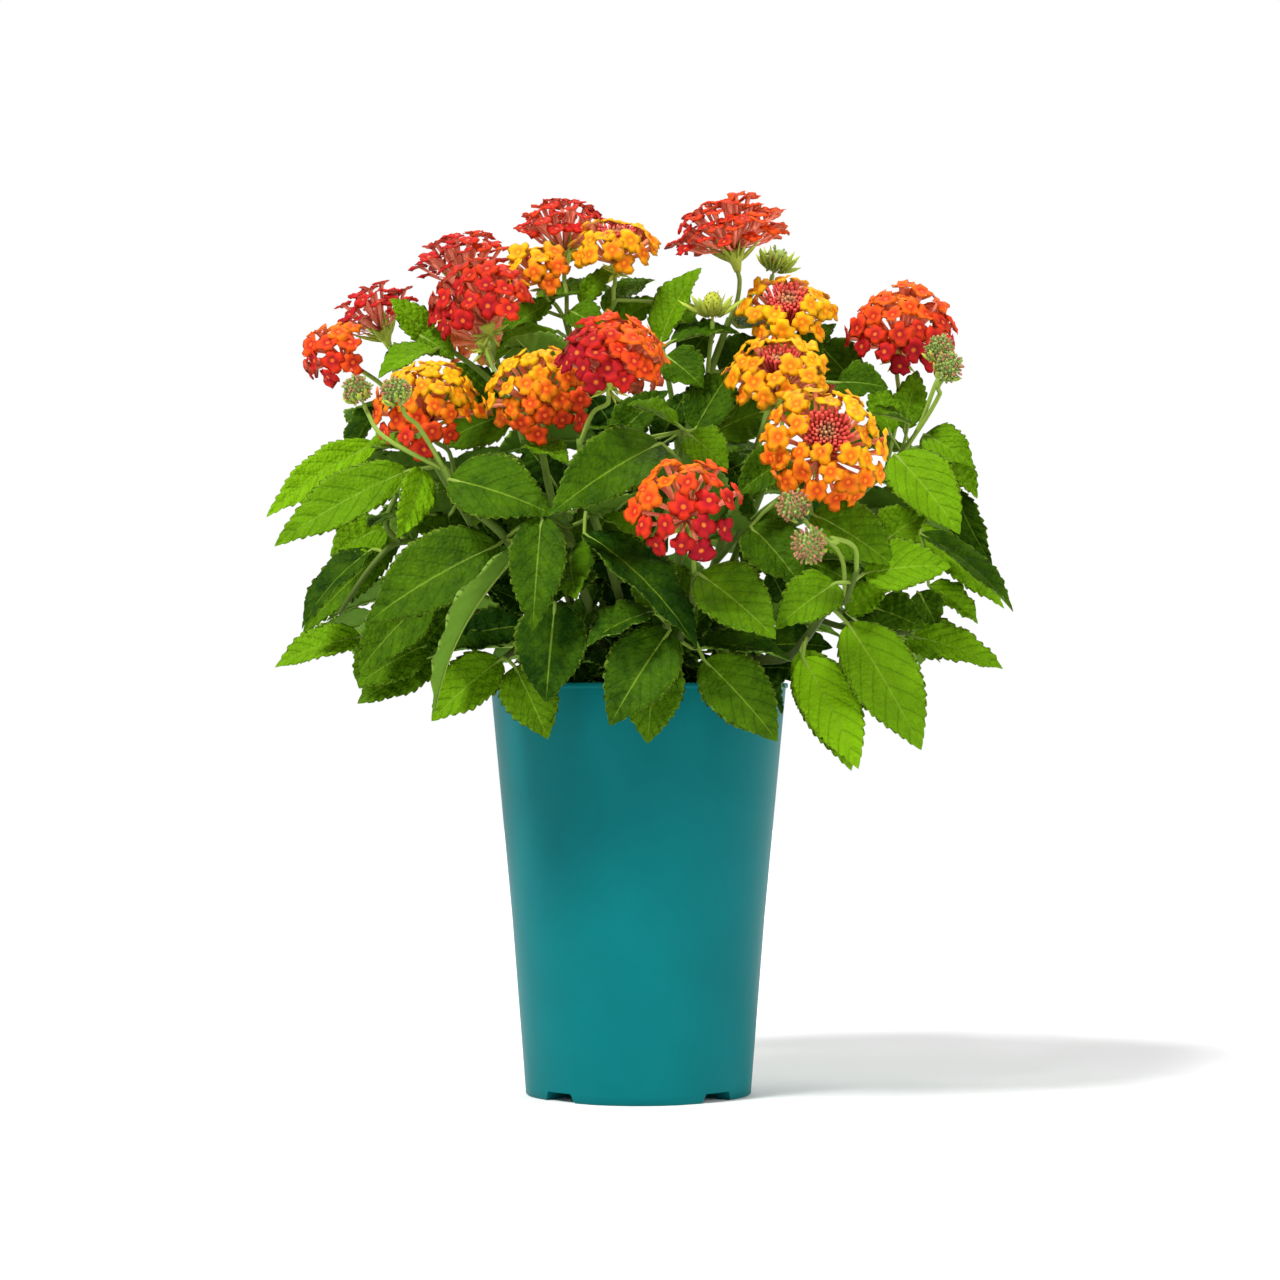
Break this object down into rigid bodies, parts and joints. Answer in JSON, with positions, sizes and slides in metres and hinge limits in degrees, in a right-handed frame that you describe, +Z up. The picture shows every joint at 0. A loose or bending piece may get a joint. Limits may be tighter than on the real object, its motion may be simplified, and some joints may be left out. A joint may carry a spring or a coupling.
{
  "type": "potted lantana",
  "caption": "Flowering lantana bush with round heads of small four-lobed orange and red florets over toothed leaves, in a tall tapered plastic nursery pot filled with soil.",
  "frame": {"origin": "centre of the pot's underside, on the floor", "axes": "+Z up along the pot's axis, -Y towards the front of the plant as the picture shows it, +X to the viewer's right"},
  "size_m": [0.3275, 0.3088, 0.4035],
  "materials": {
    "pot_teal": "satin",
    "soil": "matte",
    "foliage": "satin",
    "petals_orange": "matte",
    "petals_red": "matte",
    "petals_crimson": "matte",
    "bud_heads": "matte"
  },
  "bodies": {
    "root": {"pot": "pot_teal", "soil": "soil", "stem_left": "foliage", "stem_front_left": "foliage", "stem_top_left": "foliage", "stem_centre_left": "foliage", "stem_centre": "foliage", "stem_top_centre": "foliage", "stem_top_right": "foliage", "stem_right_upper": "foliage", "stem_right": "foliage", "stem_front": "foliage", "stem_front_right": "foliage", "stem_back_left": "foliage", "stem_back_centre": "foliage", "stem_back_low": "foliage", "stem_back_right": "foliage", "bloom_top_centre": "petals_red", "bloom_top_orange": "petals_orange", "bloom_top_small": "petals_orange", "bloom_top_left_back": "petals_red", "bloom_top_left_front": "petals_red", "bloom_left": "petals_red", "bloom_far_left": "petals_red", "bloom_left_orange": "petals_orange", "bloom_centre_orange": "petals_orange", "bloom_centre_crimson": "petals_crimson", "bloom_top_right": "petals_red", "bloom_right_ring": "petals_orange", "bloom_right_middle": "petals_orange", "bloom_right_large": "petals_orange", "bloom_right": "petals_red", "bloom_front": "petals_red", "bloom_back_left": "petals_orange", "bloom_back_centre": "petals_orange", "bloom_back_right": "petals_red", "bloom_back_low": "petals_orange", "buds_left_outer": "bud_heads", "buds_left_inner": "bud_heads", "seed_head_top": "bud_heads", "buds_top_right": "bud_heads", "buds_far_right_upper": "bud_heads", "buds_far_right_lower": "bud_heads", "buds_front_right_upper": "bud_heads", "buds_front_right_lower": "bud_heads"}
  },
  "joints": []
}
